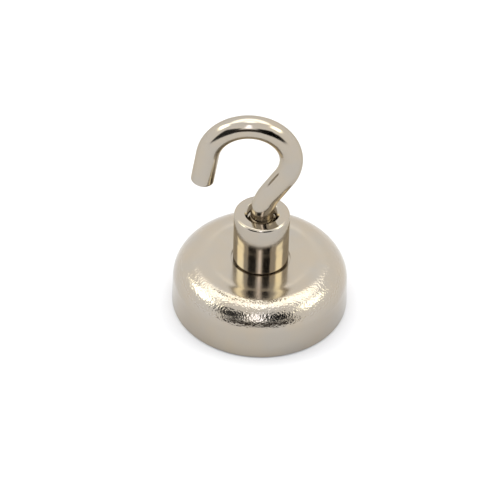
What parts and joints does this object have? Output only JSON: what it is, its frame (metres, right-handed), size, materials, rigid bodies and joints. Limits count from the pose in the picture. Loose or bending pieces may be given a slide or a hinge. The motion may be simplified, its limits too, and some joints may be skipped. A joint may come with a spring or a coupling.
{
  "type": "magnet fishing magnet",
  "caption": "Small nickel-plated pot magnet with a threaded boss on top and a screw-in open hook, for retrieving or hanging ferrous items.",
  "frame": {"origin": "middle of the flat pull face, on the axis of pot, boss and thread", "axes": "+Z from the pull face up the thread axis to the hook; the hook is bent in the XZ plane with its tip towards -X"},
  "size_m": [0.025, 0.025, 0.0336],
  "materials": {
    "satin_nickel": "satin nickel plating over drawn steel",
    "bright_nickel": "bright nickel plating over turned or bent steel",
    "magnet_nickel": "bright nickel plating over sintered magnet",
    "epoxy": "cured dark epoxy, slightly glossy"
  },
  "bodies": {
    "pot": {"pot_shell": "satin_nickel", "disc_magnet": "magnet_nickel", "glue_ring": "epoxy", "threaded_boss": "bright_nickel"},
    "shank": {"threaded_shank": "bright_nickel"},
    "hook": {"hook": "bright_nickel"}
  },
  "joints": [
    {"name": "hook_rise", "type": "slide", "parent": "pot", "child": "shank", "axis": [0, 0, 1], "range_m": [0, 0.00665]},
    {"name": "hook_turn", "type": "hinge", "parent": "shank", "child": "hook", "pos_m": [0, 0, 0.01625], "axis": [0, 0, 1], "range_deg": [0, 3425]}
  ],
  "couplings": [
    {"joint": "hook_turn", "follows": "hook_rise", "rad_per_m": 8976}
  ]
}
